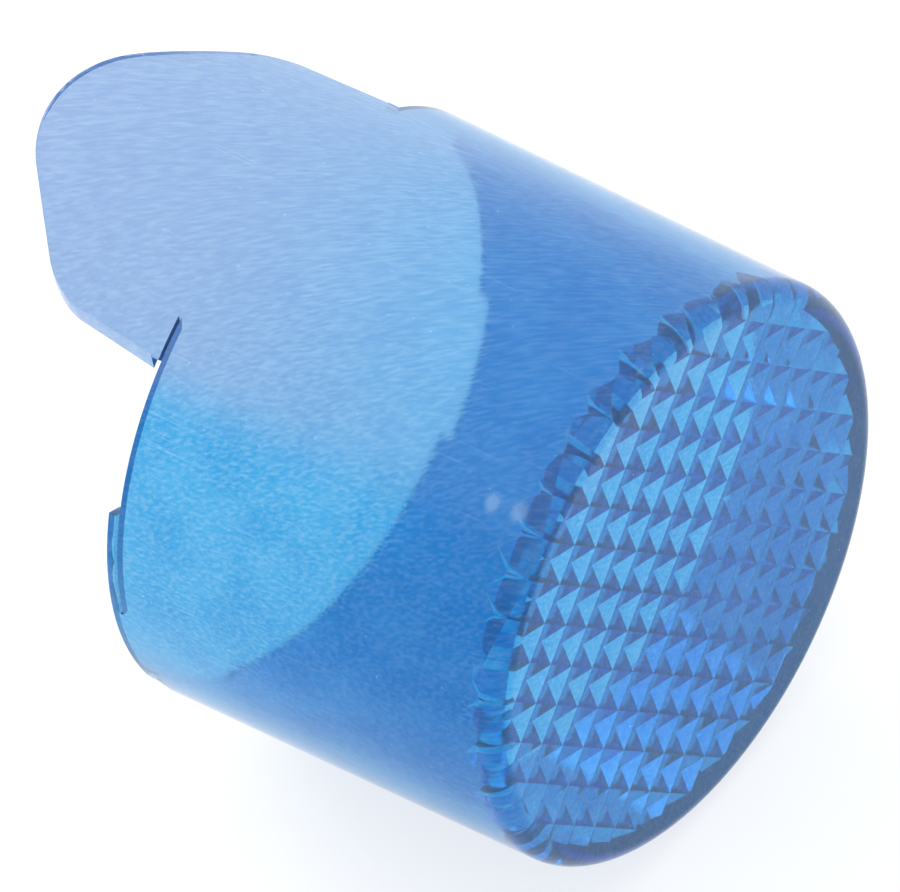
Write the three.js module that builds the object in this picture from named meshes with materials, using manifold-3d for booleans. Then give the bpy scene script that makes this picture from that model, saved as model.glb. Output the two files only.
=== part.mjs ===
// Prismatic lens cap for a small indicator lamp: a tapered see-through tube, open at one end, with a
// tongue past its rim, and a lens disc with a grid of pyramids on its inner face.
// Millimetres. The cap lies on its side: the axis is X, the lens faces +X, the tongue is on top (+Z).

import * as THREE from 'three';
import { mergeVertices } from 'three/addons/utils/BufferGeometryUtils.js';
import Module from 'manifold-3d';

const wasm = await Module();
wasm.setup();

// Shell
const mouthRadius = 12.5;
const bodyLength = 18.6;
const draftDegrees = 1.0;
const plateWall = 1.0;
const rimWall = 0.65;
const cornerRadius = 0.9;
const cornerSteps = 6;
const facets = 64;

// Tongue, as an outline seen from above
const tongueLength = 9.8;
const tongueRootHalf = 7.55;
const tongueShoulderHalf = 7.15;
const tongueTipRadius = 5.0;
const tongueFlankDegrees = 43;
const tongueShoulderRadius = 2.8;

// Relief slit under one edge of the tongue, and the shallow notches in the rim
const slitLength = 1.5;
const slitWidth = 0.15;
const notchDepth = 0.5;
const notchDegrees = 30;
const notchCentres = [52.5, 127.5, 232.5, 307.5];

// Lens
const pitch = 1.6;
const prismHeight = 0.8;
const prismRows = 17;
const gridDegrees = 48;
const plateThickness = 1.25;
const seatGap = 0.3;

const margin = 2.0;
const notchOverlap = 0.05;
const degree = Math.PI / 180;
const draft = Math.tan(draftDegrees * degree);
const endRadius = mouthRadius - draft * bodyLength;
const totalLength = bodyLength + tongueLength;

// Radius of the outer surface at a distance back from the lens face. The facets' flats touch the true round.
function outerRadius(back) {
  return (endRadius + draft * back) / Math.cos(Math.PI / facets);
}

// The wall thins evenly from the lens to the rim, and on along the tongue.
function boreRadius(back) {
  return outerRadius(back) - plateWall + ((plateWall - rimWall) * back) / bodyLength;
}

function toSolid(geometry) {
  const bare = geometry.clone();
  bare.deleteAttribute('normal');
  bare.deleteAttribute('uv');
  const merged = mergeVertices(bare, 1e-4);
  return new wasm.Manifold(new wasm.Mesh({
    numProp: 3,
    vertProperties: new Float32Array(merged.attributes.position.array),
    triVerts: new Uint32Array(merged.index.array),
  }));
}

function toGeometry(solid) {
  const mesh = solid.getMesh();
  const geometry = new THREE.BufferGeometry();
  geometry.setAttribute('position', new THREE.BufferAttribute(mesh.vertProperties, 3));
  geometry.setIndex(new THREE.BufferAttribute(mesh.triVerts, 1));
  geometry.computeVertexNormals();
  return geometry;
}

// A ring or disc turned about the X axis from [radius, back] points, with a flat facet at top and bottom.
function turned(points) {
  const profile = points.map(([radius, back]) => new THREE.Vector2(radius, -back));
  const geometry = new THREE.LatheGeometry(profile, facets, Math.PI / facets);
  return toSolid(geometry.rotateZ(-Math.PI / 2));
}

// The wall as one long tapered tube, its outer corner rounded at the lens end.
function longTube() {
  const backEnd = totalLength + margin;
  const points = [];
  for (let i = 0; i <= cornerSteps; i += 1) {
    const angle = (i / cornerSteps) * (Math.PI / 2);
    const radius = outerRadius(0) - cornerRadius + cornerRadius * Math.sin(angle);
    points.push([radius, cornerRadius - cornerRadius * Math.cos(angle)]);
  }
  points.push([outerRadius(backEnd), backEnd]);
  points.push([boreRadius(backEnd), backEnd]);
  points.push([boreRadius(0), 0]);
  points.push(points[0]);
  return turned(points.reverse());
}

// The tongue's outline, x along the cap and y across it: straight sides, round shoulders, round tip.
function tongueOutline() {
  const flank = tongueFlankDegrees * degree;
  const tipCentreX = tongueTipRadius - totalLength;
  const radiusStep = tongueShoulderRadius - tongueTipRadius;
  const centreY = tongueShoulderHalf - tongueShoulderRadius;
  const flankRise = centreY + radiusStep * Math.sin(flank);
  const centreX = tipCentreX + radiusStep * Math.cos(flank) + flankRise * Math.tan(flank);
  const shape = new THREE.Shape();
  shape.moveTo(0, -tongueRootHalf);
  shape.lineTo(0, tongueRootHalf);
  shape.lineTo(-bodyLength, tongueRootHalf);
  shape.absarc(centreX, centreY, tongueShoulderRadius, Math.PI / 2, Math.PI - flank, false);
  shape.absarc(tipCentreX, 0, tongueTipRadius, Math.PI - flank, Math.PI + flank, false);
  shape.absarc(centreX, -centreY, tongueShoulderRadius, Math.PI + flank, 1.5 * Math.PI, false);
  shape.lineTo(-bodyLength, -tongueRootHalf);
  return shape;
}

function tongueBlock() {
  const height = outerRadius(totalLength) + margin;
  return toSolid(new THREE.ExtrudeGeometry(tongueOutline(), { depth: height, bevelEnabled: false }));
}

// Everything in front of the rim plane.
function bodyBlock() {
  const side = 2 * (mouthRadius + margin);
  const block = new THREE.BoxGeometry(bodyLength + margin, side, side);
  return toSolid(block.translate(margin - (bodyLength + margin) / 2, 0, 0));
}

// A shallow notch: a pie slice about the axis that ends just behind the rim, so that it clears the tongue.
function notchCutter(centreDegrees) {
  const reach = mouthRadius + margin;
  const start = (centreDegrees - notchDegrees / 2) * degree;
  const slice = new THREE.Shape();
  slice.moveTo(0, 0);
  slice.lineTo(reach * Math.cos(start), reach * Math.sin(start));
  slice.absarc(0, 0, reach, start, start + notchDegrees * degree, false);
  slice.lineTo(0, 0);
  const depth = notchDepth + notchOverlap;
  const cutter = new THREE.ExtrudeGeometry(slice, { depth, bevelEnabled: false, curveSegments: 4 });
  cutter.rotateY(-Math.PI / 2);
  return toSolid(cutter.translate(-bodyLength + notchDepth, 0, 0));
}

// A narrow slit that frees the tongue's root from the rim, on the -Y side.
function slitCutter() {
  const height = mouthRadius + margin;
  const width = slitLength + margin;
  const cutter = new THREE.BoxGeometry(slitWidth, width, height);
  const x = -bodyLength + notchDepth - slitWidth / 2;
  const y = slitLength - tongueRootHalf - width / 2;
  return toSolid(cutter.translate(x, y, height / 2));
}

function shellGeometry() {
  let solid = longTube().intersect(bodyBlock().add(tongueBlock()));
  for (const centre of notchCentres) {
    solid = solid.subtract(notchCutter(centre));
  }
  return toGeometry(solid.subtract(slitCutter()));
}

// A point of the square grid, counted in cells from one corner, at a distance back from the lens face.
function gridPoint(i, j, back) {
  return [-back, (i - prismRows / 2) * pitch, (j - prismRows / 2) * pitch];
}

// The four faces of every pyramid, as loose triangles.
function pyramidTriangles() {
  const triangles = [];
  for (let i = 0; i < prismRows; i += 1) {
    for (let j = 0; j < prismRows; j += 1) {
      const apex = gridPoint(i + 0.5, j + 0.5, plateThickness + prismHeight);
      const ring = [[i, j], [i, j + 1], [i + 1, j + 1], [i + 1, j]];
      ring.forEach(([a, b], k) => {
        const [c, d] = ring[(k + 1) % 4];
        triangles.push(apex, gridPoint(a, b, plateThickness), gridPoint(c, d, plateThickness));
      });
    }
  }
  return triangles;
}

// The slab under the pyramids: four sides, each a fan that meets their corners, and the flat front.
function slabTriangles() {
  const edges = [
    (k) => [k, 0],
    (k) => [prismRows, k],
    (k) => [prismRows - k, prismRows],
    (k) => [0, prismRows - k],
  ];
  const front = edges.map((edge) => gridPoint(...edge(0), 0));
  const triangles = [front[0], front[1], front[2], front[0], front[2], front[3]];
  edges.forEach((edge, side) => {
    const rim = (k) => gridPoint(...edge(k), plateThickness);
    for (let k = 0; k < prismRows; k += 1) {
      triangles.push(front[side], rim(k), rim(k + 1));
    }
    triangles.push(front[side], rim(prismRows), front[(side + 1) % 4]);
  });
  return triangles;
}

function pyramidSlab() {
  const points = [...pyramidTriangles(), ...slabTriangles()].flat();
  const geometry = new THREE.BufferGeometry();
  geometry.setAttribute('position', new THREE.Float32BufferAttribute(points, 3));
  return toSolid(geometry.rotateX(-gridDegrees * degree));
}

function lensGeometry() {
  const radius = boreRadius(0) - seatGap;
  const back = plateThickness + prismHeight + margin;
  const disc = turned([[0, back], [radius, back], [radius, 0], [0, 0]]);
  return toGeometry(disc.intersect(pyramidSlab()));
}

const bluePlastic = new THREE.MeshStandardMaterial({ color: '#2f8fd8', roughness: 0.12, metalness: 0 });
const bluePrism = new THREE.MeshStandardMaterial({ color: '#4a9fe0', roughness: 0.1, metalness: 0 });

const cap = new THREE.Group();
const shell = new THREE.Mesh(shellGeometry(), bluePlastic);
shell.name = 'shell';
const lens = new THREE.Mesh(lensGeometry(), bluePrism);
lens.name = 'prism_lens';
cap.add(shell, lens);

// The middle of the box's floor is the origin.
cap.position.set(totalLength / 2, 0, mouthRadius);

export default cap;
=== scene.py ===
import math
import bpy
from mathutils import Matrix, Vector


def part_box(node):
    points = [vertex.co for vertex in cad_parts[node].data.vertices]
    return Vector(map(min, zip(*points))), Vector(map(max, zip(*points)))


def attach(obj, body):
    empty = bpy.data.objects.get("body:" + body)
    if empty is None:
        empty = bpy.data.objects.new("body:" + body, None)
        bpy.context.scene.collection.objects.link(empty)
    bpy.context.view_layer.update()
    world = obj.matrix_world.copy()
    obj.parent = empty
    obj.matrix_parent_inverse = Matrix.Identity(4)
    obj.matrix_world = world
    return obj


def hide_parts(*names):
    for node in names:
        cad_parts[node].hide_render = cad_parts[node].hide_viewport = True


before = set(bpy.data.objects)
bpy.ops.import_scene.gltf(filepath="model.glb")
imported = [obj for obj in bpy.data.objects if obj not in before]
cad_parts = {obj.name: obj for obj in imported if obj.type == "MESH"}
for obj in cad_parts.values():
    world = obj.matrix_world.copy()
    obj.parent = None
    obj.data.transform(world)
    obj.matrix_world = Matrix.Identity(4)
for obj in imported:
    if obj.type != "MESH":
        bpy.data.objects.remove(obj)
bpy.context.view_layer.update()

# Sizes are metres. The cap lies on its side, its axis along X, the lens facing +X and the tongue on top.
mm = 0.001
lensLow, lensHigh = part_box("prism_lens")
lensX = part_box("shell")[1].x  # the flat outer face of the lens
axisZ = lensLow.z / 2 + lensHigh.z / 2


def deselectAll():
    for piece in bpy.context.selected_objects:
        piece.select_set(False)


def makeActive(piece):
    deselectAll()
    piece.select_set(True)
    bpy.context.view_layer.objects.active = piece


# Materials

def linear(hexColour, alpha=1.0):
    channels = [int(hexColour[i:i + 2], 16) / 255 for i in (1, 3, 5)]
    return tuple(c / 12.92 if c <= 0.04045 else ((c + 0.055) / 1.055) ** 2.4 for c in channels) + (alpha,)


def addNode(tree, kind, settings=None, links=None):
    node = tree.nodes.new(kind)
    for key, value in (settings or {}).items():
        if key in node.inputs:
            node.inputs[key].default_value = value
        else:
            setattr(node, key, value)
    for key, source in (links or {}).items():
        tree.links.new(source, node.inputs[key])
    return node


def newMaterial(name):
    material = bpy.data.materials.new(name)
    material.use_nodes = True
    material.node_tree.nodes.clear()
    return material


# Camera, floor and light

view = {
    "azimuth": 45.5,  # degrees round from the front, then up, then tipped about the line of sight
    "elevation": 47.51,
    "roll": -11.6,
    "aimFromCentre": (4.975 * mm, -2.112 * mm, 4.67 * mm),
    "distance": 497.8 * mm,
    "lens": 520.0,
    "sensor": 36.0,
    "clipEnd": 5.0,
}


def addCamera(settings):
    azimuth = math.radians(settings["azimuth"])
    elevation = math.radians(settings["elevation"])
    back = Vector((
        math.sin(azimuth) * math.cos(elevation),
        -math.cos(azimuth) * math.cos(elevation),
        math.sin(elevation),
    ))
    level = back.to_track_quat("Z", "Y").to_matrix().to_4x4()
    roll = Matrix.Rotation(math.radians(settings["roll"]), 4, "Z")
    data = bpy.data.cameras.new("camera")
    data.lens = settings["lens"]
    data.sensor_width = settings["sensor"]
    data.clip_end = settings["clipEnd"]
    camera = bpy.data.objects.new("camera", data)
    bpy.context.collection.objects.link(camera)
    aim = Vector((0, 0, axisZ)) + Vector(settings["aimFromCentre"])
    camera.matrix_world = Matrix.Translation(aim + back * settings["distance"]) @ level @ roll
    bpy.context.scene.camera = camera


studio = {
    "floorSize": 3.0,
    "floorColour": "#909294",
    "floorRoughness": 0.7,
    "floorGlow": 0.70,
    "floorGrain": 900.0,  # roller texture, grains in a metre, then its strength and depth
    "floorRelief": (0.05, 0.05 * mm),
    "roomColour": "#ffffff",
    "roomGlow": 1.15,
    "panels": (
        {"name": "topPanel", "at": (0.10, 0.15, 0.60), "size": 0.6, "power": 0.6},
        {"name": "leftPanel", "at": (-0.50, 0.10, 0.22), "size": 0.35, "power": 1.7},
    ),
}


def paintedBoard():
    # painted board, rolled on flat: a matte pale floor that shows the colour the cap lets through
    material = newMaterial("mattePaintedBoard")
    tree = material.node_tree
    strength, depth = studio["floorRelief"]
    grain = addNode(tree, "ShaderNodeTexNoise", {"Scale": studio["floorGrain"], "Detail": 2.0})
    relief = addNode(tree, "ShaderNodeBump", {
        "Strength": strength,
        "Distance": depth,
    }, {"Height": grain.outputs["Fac"]})
    shader = addNode(tree, "ShaderNodeBsdfPrincipled", {
        "Base Color": linear(studio["floorColour"]),
        "Roughness": studio["floorRoughness"],
        "Emission Color": linear(studio["roomColour"]),
        "Emission Strength": studio["floorGlow"],
    }, {"Normal": relief.outputs["Normal"]})
    addNode(tree, "ShaderNodeOutputMaterial", links={"Surface": shader.outputs["BSDF"]})
    return material


def addFloor():
    deselectAll()
    bpy.ops.mesh.primitive_plane_add(size=studio["floorSize"], location=(0, 0, 0))
    floor = bpy.context.object
    floor.name = "floor"
    floor.data.materials.append(paintedBoard())


def addPanel(spec, target):
    data = bpy.data.lights.new(spec["name"], "AREA")
    data.size = spec["size"]
    data.energy = spec["power"]
    panel = bpy.data.objects.new(spec["name"], data)
    bpy.context.collection.objects.link(panel)
    panel.location = spec["at"]
    panel.rotation_euler = (Vector(spec["at"]) - target).to_track_quat("Z", "Y").to_euler()


def addRoom():
    world = bpy.data.worlds.new("studio")
    world.use_nodes = True
    glow = world.node_tree.nodes["Background"]
    glow.inputs["Color"].default_value = linear(studio["roomColour"])
    glow.inputs["Strength"].default_value = studio["roomGlow"]
    bpy.context.scene.world = world
    bpy.context.scene.view_settings.view_transform = "Standard"


addCamera(view)
addFloor()
for panel in studio["panels"]:
    addPanel(panel, Vector((0, 0, axisZ)))
addRoom()
print("camera, floor and light placed")


# Helpers for shaping a piece in edit mode

def selectIn(piece, part, test):
    # part is "vertices", "edges" or "polygons"; test gets the points of each one
    mesh = piece.data
    makeActive(piece)
    bpy.ops.object.mode_set(mode="EDIT")
    bpy.ops.mesh.select_mode(type={"vertices": "VERT", "edges": "EDGE", "polygons": "FACE"}[part])
    bpy.ops.mesh.select_all(action="DESELECT")
    bpy.ops.object.mode_set(mode="OBJECT")
    for item in getattr(mesh, part):
        corners = [item.index] if part == "vertices" else item.vertices
        item.select = test([mesh.vertices[corner].co for corner in corners])
    bpy.ops.object.mode_set(mode="EDIT")


def leaveEdit():
    bpy.ops.object.mode_set(mode="OBJECT")


def finishEdit(mergeWithin):
    bpy.ops.mesh.select_all(action="SELECT")
    bpy.ops.mesh.remove_doubles(threshold=mergeWithin)
    bpy.ops.mesh.normals_make_consistent(inside=False)
    leaveEdit()


def applyPlace(piece, location=(0, 0, 0), rotation=(0, 0, 0)):
    makeActive(piece)
    piece.location = location
    piece.rotation_euler = rotation
    bpy.ops.object.transform_apply(location=True, rotation=True, scale=True)


def addBox(name, low, high):
    deselectAll()
    centre = [(a + b) / 2 for a, b in zip(low, high)]
    size = [b - a for a, b in zip(low, high)]
    bpy.ops.mesh.primitive_cube_add(size=1, location=centre, scale=size)
    box = bpy.context.object
    box.name = name
    bpy.ops.object.transform_apply(location=True, rotation=True, scale=True)
    return box


def cutWith(piece, tool, operation):
    makeActive(piece)
    cut = piece.modifiers.new("cut", "BOOLEAN")
    cut.operation = operation
    cut.solver = "EXACT"
    cut.object = tool
    bpy.ops.object.modifier_apply(modifier=cut.name)
    bpy.data.objects.remove(tool, do_unlink=True)


# Tube: a tapered wall and the lens plate in one, with a rounded outer corner at the lens end

tube = {
    "mouthRadius": 12.5 * mm,
    "length": 18.6 * mm,
    "taper": math.tan(math.radians(1.0)),
    "plateWall": 1.0 * mm,
    "rimWall": 0.65 * mm,
    "plate": 1.25 * mm,
    "boreFloor": 1.22 * mm,  # just under the plate's own face, so that the prisms overlap it
    "corner": 0.9 * mm,
    "cornerSteps": 12,
    "around": 256,
}
tongue = {
    "length": 9.8 * mm,
    "rootHalf": 7.55 * mm,
    "shoulderHalf": 7.15 * mm,
    "shoulderRadius": 2.8 * mm,
    "tipRadius": 5.0 * mm,
    "rootOverlap": 0.2 * mm,  # how far its block reaches into the tube, past the rim
    "flank": math.radians(47),  # between each slanted edge and the axis
    "arcSteps": 24,
}
rimX = lensX - tube["length"]
tipX = rimX - tongue["length"]
spare = 2 * mm  # how far a cutting shape runs past what it cuts
reach = tube["mouthRadius"] + spare
tiny = 0.001 * mm


def outerRadius(back):
    return tube["mouthRadius"] - tube["taper"] * (tube["length"] - back)


def wallAt(back):
    # the wall thins evenly from the lens to the rim, and on along the tongue
    return tube["plateWall"] - (tube["plateWall"] - tube["rimWall"]) * back / tube["length"]


def addCone(name, front, back, frontRadius, backRadius):
    deselectAll()
    bpy.ops.mesh.primitive_cone_add(
        vertices=tube["around"], radius1=frontRadius, radius2=backRadius, depth=back - front,
        end_fill_type="NGON", location=(lensX - (front + back) / 2, 0, axisZ), rotation=(0, -math.pi / 2, 0))
    cone = bpy.context.object
    cone.name = name
    bpy.ops.object.transform_apply(location=True, rotation=True, scale=True)
    return cone


def roundEdges(radius, steps):
    bpy.ops.mesh.bevel(offset_type="OFFSET", offset=radius, segments=steps, affect="EDGES")


def tongueBlock():
    # seen from above: a block that closes to a point, its two shoulders and its tip then rounded
    size = tongue
    slant = math.tan(size["flank"])
    pointX = tipX + size["tipRadius"] - size["tipRadius"] / math.sin(size["flank"])
    shoulderX = pointX + size["shoulderHalf"] / slant
    rootX = rimX + size["rootOverlap"]
    low = (shoulderX, -size["rootHalf"], axisZ)
    high = (rootX, size["rootHalf"], axisZ + reach)
    block = addBox("tongueBlock", low, high)
    selectIn(block, "vertices", lambda points: points[0].x < shoulderX + tiny)
    bpy.ops.transform.resize(value=(1, size["shoulderHalf"] / size["rootHalf"], 1))
    leaveEdit()
    selectIn(block, "polygons", lambda points: all(point.x < shoulderX + tiny for point in points))
    bpy.ops.mesh.extrude_region_move(TRANSFORM_OT_translate={"value": (pointX - shoulderX, 0, 0)})
    bpy.ops.transform.resize(value=(1, 0, 1))
    finishEdit(tiny)
    selectIn(block, "edges", lambda points: all(point.x < pointX + tiny for point in points))
    roundEdges(size["tipRadius"] / slant, size["arcSteps"])
    leaveEdit()
    selectIn(block, "edges", lambda points: all(abs(point.x - shoulderX) < tiny for point in points)
             and abs(points[0].y - points[1].y) < tiny)
    roundEdges(size["shoulderRadius"] * math.tan(size["flank"] / 2), size["arcSteps"])
    finishEdit(tiny)
    return block


def buildTube():
    total = tube["length"] + tongue["length"] + spare
    body = addCone("lampCap", 0, total, outerRadius(0), outerRadius(total))
    selectIn(body, "edges", lambda points: all(abs(point.x - lensX) < tiny for point in points))
    roundEdges(tube["corner"], tube["cornerSteps"])
    leaveEdit()
    low = (rimX, -reach, axisZ - reach)
    kept = addBox("keptLength", low, (lensX + spare, reach, axisZ + reach))
    cutWith(kept, tongueBlock(), "UNION")
    cutWith(body, kept, "INTERSECT")
    front, back = tube["boreFloor"], total + spare
    boreRadii = [outerRadius(place) - wallAt(place) for place in (front, back)]
    bore = addCone("bore", front, back, *boreRadii)
    cutWith(body, bore, "DIFFERENCE")
    return body


# Rim: four shallow notches, a hairline slit at one edge of the tongue, and slightly softened edges

rim = {
    "notchDepth": 0.5 * mm,
    "notchAngle": math.radians(30),
    "notchOverlap": 0.05 * mm,  # how far behind the rim each cut starts
    "notchCentres": (52.5, 127.5, 232.5, 307.5),  # degrees from the top, turning towards +Y
    "slitLength": 1.5 * mm,
    "slitWidth": 0.15 * mm,
    "softening": 0.06 * mm,
    "softeningSteps": 3,
    "sharpFrom": math.radians(35),  # edges that turn by more than this are softened
}
notchFloorX = rimX + rim["notchDepth"]


def notchBlock(centreDegrees):
    # a wedge that starts on the axis and widens to the notch's width at the wall
    half = reach * math.tan(rim["notchAngle"] / 2)
    block = addBox("notch", (-rim["notchOverlap"], -half, 0), (rim["notchDepth"], half, reach))
    selectIn(block, "vertices", lambda points: points[0].z < tiny)
    bpy.ops.transform.resize(value=(1, 0, 1))
    finishEdit(tiny)
    applyPlace(block, (rimX, 0, axisZ), (-math.radians(centreDegrees), 0, 0))
    return block


def slitBlock():
    inner = rim["slitLength"] - tongue["rootHalf"]
    low = (notchFloorX - rim["slitWidth"], inner - reach, axisZ)
    return addBox("slit", low, (notchFloorX, inner, axisZ + reach))


def softenRim(body):
    makeActive(body)
    bpy.ops.object.mode_set(mode="EDIT")
    bpy.ops.mesh.select_mode(type="EDGE")
    bpy.ops.mesh.select_all(action="SELECT")
    bpy.ops.mesh.remove_doubles(threshold=2 * tiny)
    bpy.ops.mesh.select_all(action="DESELECT")
    bpy.ops.mesh.edges_select_sharp(sharpness=rim["sharpFrom"])
    leaveEdit()
    for edge in body.data.edges:
        points = [body.data.vertices[corner].co for corner in edge.vertices]
        edge.select = edge.select and all(point.x < notchFloorX + tiny for point in points)
    bpy.ops.object.mode_set(mode="EDIT")
    bpy.ops.mesh.select_mode(type="EDGE")
    steps = rim["softeningSteps"]
    bpy.ops.mesh.bevel(offset=rim["softening"], segments=steps, affect="EDGES", clamp_overlap=True)
    leaveEdit()


# Lens: a square grid of four-sided pyramids on the inner face of the plate

prisms = {
    "pitch": 1.6 * mm,
    "height": 0.8 * mm,
    "rows": 17,
    "turn": math.radians(48),
    "sink": 0.3 * mm,  # how far the field reaches into the plate and the wall
}


def prismField():
    size = prisms["rows"] * prisms["pitch"]
    deselectAll()
    rows = prisms["rows"]
    bpy.ops.mesh.primitive_grid_add(x_subdivisions=rows, y_subdivisions=rows, size=size)
    field = bpy.context.object
    field.name = "prismField"
    selectIn(field, "polygons", lambda points: True)
    bpy.ops.mesh.poke(offset=prisms["height"])
    bpy.ops.mesh.select_mode(type="EDGE")
    bpy.ops.mesh.select_all(action="DESELECT")
    bpy.ops.mesh.select_non_manifold()
    bpy.ops.mesh.extrude_region_move(TRANSFORM_OT_translate={"value": (0, 0, -prisms["sink"])})
    bpy.ops.mesh.edge_face_add()
    finishEdit(tiny)
    applyPlace(field, rotation=(0, 0, prisms["turn"]))
    applyPlace(field, (lensX - tube["plate"], 0, axisZ), (0, -math.pi / 2, 0))
    front = tube["plate"] - 2 * prisms["sink"]
    back = tube["plate"] + prisms["height"] + spare
    inset = tube["plateWall"] - prisms["sink"]
    disc = addCone("disc", front, back, outerRadius(front) - inset, outerRadius(back) - inset)
    cutWith(field, disc, "INTERSECT")
    return field


cap = buildTube()
for centre in rim["notchCentres"]:
    cutWith(cap, notchBlock(centre), "DIFFERENCE")
cutWith(cap, slitBlock(), "DIFFERENCE")
print("tube, tongue, notches and slit cut:", len(cap.data.polygons), "faces")
softenRim(cap)
print("rim softened:", len(cap.data.polygons), "faces")
cutWith(cap, prismField(), "UNION")
print("prisms joined:", len(cap.data.polygons), "faces")


# Plastic: one clear blue moulding, with a painted pale sheen on its upper side, streaks, specks, scratches
# and a few painted highlights

plastic = {
    "colour": "#64bae8",
    "deepColour": "#50aee2",
    "paintedSheenColour": "#b0b7dc",
    "dustAndHighlightColour": "#e3ecfa",
    "patch": 2.5 * mm,  # size of the faint cloudy patches in the colour
    "patchEdge": (0.35, 0.65),  # where in the noise the change from one to the other starts and ends
    "streakLong": 0.9 * mm,  # fine wiping streaks, slanting a little across the cap
    "streakWide": 0.14 * mm,
    "streakTurn": math.radians(35),
    "streakEdge": (0.38, 0.68),
    "streakShare": 0.30,
    "streakRelief": (0.15, 0.01 * mm),  # strength and depth
    "speckEvery": 0.9 * mm,
    "speckSize": 0.07 * mm,
    "speckCore": 0.3,  # share of a speck that is fully pale
    "speckShare": 0.6,
    "scratchLong": 9.0 * mm,
    "scratchWide": 0.09 * mm,
    "scratchEdge": (0.72, 0.76),
    "scratchShare": 0.4,
    "paintedHighlightDepth": 0.3 * mm,
    "paintedHighlightEdge": 0.7,
    "paintedHighlightMarks": (  # painted highlights by the lens, pale spots and glint streaks standing in for light: degrees from the top, distance from the face, length, width
        (-35.1, 2.62 * mm, 0.55 * mm, 0.45 * mm),
        (-34.5, 1.43 * mm, 0.60 * mm, 0.50 * mm),
        (-15.9, 0.31 * mm, 0.75 * mm, 0.14 * mm),
        (-0.8, 0.38 * mm, 0.50 * mm, 0.12 * mm),
    ),
    "paintedSheenUp": (20.8 * mm, 22.6 * mm),  # the painted sheen, a paler tint standing in for light, lies on the upper side
    "paintedSheenAlong": (-6.0 * mm, 11.0 * mm),  # and thins out from the rim to the lens
    "paintedSheenLeft": 0.35,
    "transmission": 0.86,
    "roughness": (0.04, 0.11, 0.45),  # between streaks, on streaks, on dust and scratches
    "roughnessEdge": (0.35, 0.75),
    "ior": 1.49,
    "specularTint": "#2f9cff",
    "absorbColour": "#30e4f8",
    "absorbDensity": 800.0,
}


def stretchedNoise(tree, place, along, across, detail, turn=0.0):
    scaled = addNode(tree, "ShaderNodeMapping", {
        "vector_type": "TEXTURE", "Scale": (along, across, across), "Rotation": (0, 0, turn),
    }, {"Vector": place})
    return addNode(tree, "ShaderNodeTexNoise", {
        "Scale": 1.0,
        "Detail": detail,
    }, {"Vector": scaled.outputs["Vector"]}).outputs["Fac"]


def ramp(tree, value, start, end, low=0.0, high=1.0):
    return addNode(tree, "ShaderNodeMapRange", {
        "interpolation_type": "SMOOTHSTEP",
        "From Min": start,
        "From Max": end,
        "To Min": low,
        "To Max": high,
    }, {"Value": value}).outputs["Result"]


def blend(tree, share, first, second):
    # colours may be given as values or as sockets
    node = addNode(tree, "ShaderNodeMixRGB", links={"Fac": share})
    for name, colour in (("Color1", first), ("Color2", second)):
        if isinstance(colour, tuple):
            node.inputs[name].default_value = colour
        else:
            tree.links.new(colour, node.inputs[name])
    return node.outputs["Color"]


def combine(tree, operation, first, second):
    node = addNode(tree, "ShaderNodeMath", {"operation": operation})
    for slot, value in enumerate((first, second)):
        if isinstance(value, float):
            node.inputs[slot].default_value = value
        else:
            tree.links.new(value, node.inputs[slot])
    return node.outputs["Value"]


def paintedUpperSheen(tree, place):
    # painted sheen: a paler tint on the upper side that stands in for light, thinning from the rim to the
    # lens
    axes = addNode(tree, "ShaderNodeSeparateXYZ", links={"Vector": place})
    upper = ramp(tree, axes.outputs["Z"], *plastic["paintedSheenUp"])
    thinning = ramp(tree, axes.outputs["X"], *plastic["paintedSheenAlong"], 1.0, plastic["paintedSheenLeft"])
    return combine(tree, "MULTIPLY", upper, thinning)


def dustSpecks(tree, place):
    cells = addNode(tree, "ShaderNodeTexVoronoi", {"Scale": 1 / plastic["speckEvery"]}, {"Vector": place})
    size = plastic["speckSize"] / plastic["speckEvery"]
    core = plastic["speckCore"] * size
    return ramp(tree, cells.outputs["Distance"], size, core, 0.0, plastic["speckShare"])


def paintedHighlightSpot(tree, place, spec):
    # a soft-edged oval painted highlight at its own place on the wall
    turn, back, long, wide = spec
    angle = math.radians(turn)
    radius = outerRadius(back)
    centre = (lensX - back, radius * math.sin(angle), axisZ + radius * math.cos(angle))
    local = addNode(tree, "ShaderNodeMapping", {
        "vector_type": "TEXTURE",
        "Location": centre,
        "Rotation": (-angle, 0, 0),
        "Scale": (wide, long, plastic["paintedHighlightDepth"]),
    }, {"Vector": place})
    ball = addNode(tree, "ShaderNodeTexGradient", {
        "gradient_type": "SPHERICAL",
    }, {"Vector": local.outputs["Vector"]})
    return ramp(tree, ball.outputs["Fac"], 0.0, plastic["paintedHighlightEdge"])


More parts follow.
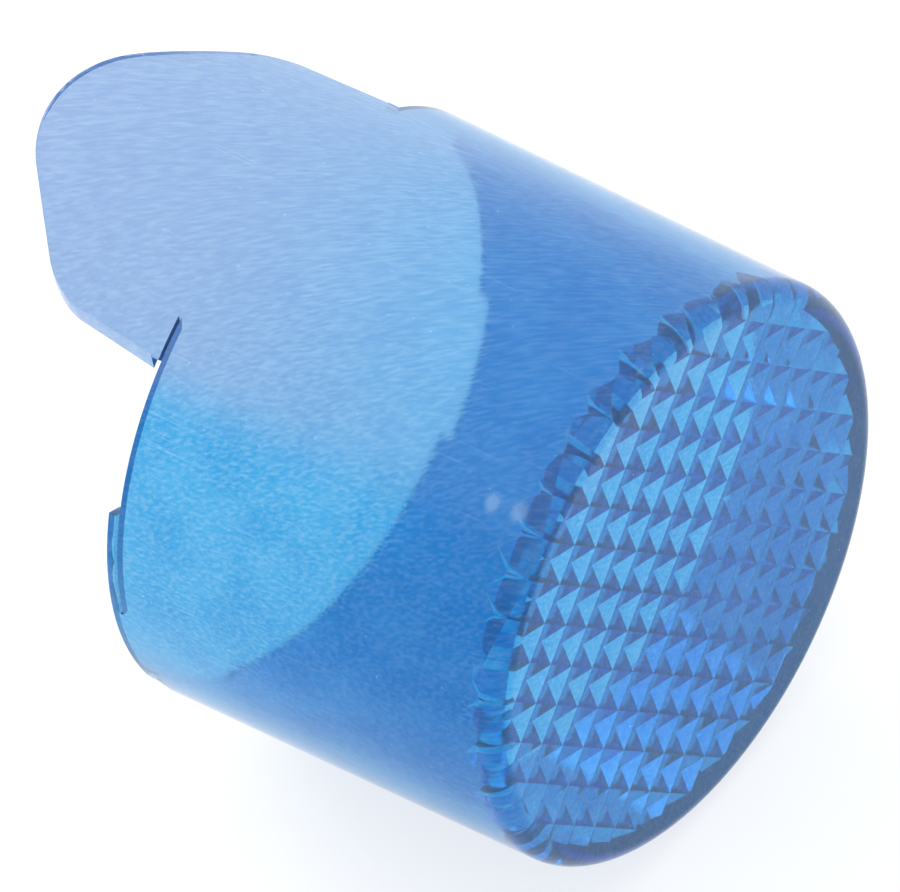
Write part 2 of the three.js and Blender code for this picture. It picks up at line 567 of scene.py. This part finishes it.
def mouldedAcrylic():
    # acrylic, injection moulded and tinted in the mass: clear and glossy, deeper blue where light runs a long
    # way through it, with faint wiping streaks, handling scratches and fine dust that dull the gloss
    material = newMaterial("clearBlueAcrylicMoulded")
    tree = material.node_tree
    place = addNode(tree, "ShaderNodeTexCoord").outputs["Object"]
    paleDustAndHighlight = linear(plastic["dustAndHighlightColour"])
    patches = stretchedNoise(tree, place, plastic["patch"], plastic["patch"], 2.0)
    streaks = stretchedNoise(
        tree, place, plastic["streakLong"], plastic["streakWide"], 3.0, plastic["streakTurn"])
    scratches = stretchedNoise(tree, place, plastic["scratchLong"], plastic["scratchWide"], 1.0)
    scratches = ramp(tree, scratches, *plastic["scratchEdge"])
    specks = dustSpecks(tree, place)

    patchShare = ramp(tree, patches, *plastic["patchEdge"])
    tint = blend(tree, patchShare, linear(plastic["colour"]), linear(plastic["deepColour"]))
    # painted sheen: the upper side is tinted a paler lavender that stands in for light
    tint = blend(tree, paintedUpperSheen(tree, place), tint, linear(plastic["paintedSheenColour"]))
    tint = blend(tree, ramp(tree, streaks, *plastic["streakEdge"], 0.0, plastic["streakShare"]), tint, paleDustAndHighlight)
    wearAndPaintedHighlights = combine(tree, "MAXIMUM", specks, combine(tree, "MULTIPLY", scratches, plastic["scratchShare"]))
    # painted highlights: pale spots and glint streaks by the lens, mixed in with the dust specks and
    # scratches
    for spec in plastic["paintedHighlightMarks"]:
        wearAndPaintedHighlights = combine(tree, "MAXIMUM", wearAndPaintedHighlights, paintedHighlightSpot(tree, place, spec))
    tint = blend(tree, wearAndPaintedHighlights, tint, paleDustAndHighlight)

    clean, streaky, dusty = plastic["roughness"]
    gloss = combine(tree, "ADD", ramp(tree, streaks, *plastic["roughnessEdge"], clean, streaky),
                    combine(tree, "MULTIPLY", wearAndPaintedHighlights, dusty - streaky))
    strength, depth = plastic["streakRelief"]
    relief = addNode(tree, "ShaderNodeBump", {"Strength": strength, "Distance": depth}, {"Height": streaks})
    shader = addNode(tree, "ShaderNodeBsdfPrincipled", {
        "IOR": plastic["ior"],
        "Specular Tint": linear(plastic["specularTint"]),
        "Transmission Weight": plastic["transmission"],
    }, {"Base Color": tint, "Roughness": gloss, "Normal": relief.outputs["Normal"]})
    absorb = addNode(tree, "ShaderNodeVolumeAbsorption", {
        "Color": linear(plastic["absorbColour"]),
        "Density": plastic["absorbDensity"],
    })
    addNode(tree, "ShaderNodeOutputMaterial", links={
        "Surface": shader.outputs["BSDF"],
        "Volume": absorb.outputs["Volume"],
    })
    return material


# Finish: smooth shading, with weighted normals so that the long wall faces don't lean towards the soft rim

finish = {
    "smoothUnder": math.radians(25),
    "weight": 100,
}

cap.data.materials.clear()
cap.data.materials.append(mouldedAcrylic())
makeActive(cap)
bpy.ops.object.shade_smooth_by_angle(angle=finish["smoothUnder"])
even = cap.modifiers.new("even", "WEIGHTED_NORMAL")
even.mode = "FACE_AREA"
even.weight = finish["weight"]
even.keep_sharp = True
bpy.ops.object.modifier_apply(modifier=even.name)

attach(cap, "root")
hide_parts("shell", "prism_lens")
print("plastic and smoothing done, cap tied to the frame")
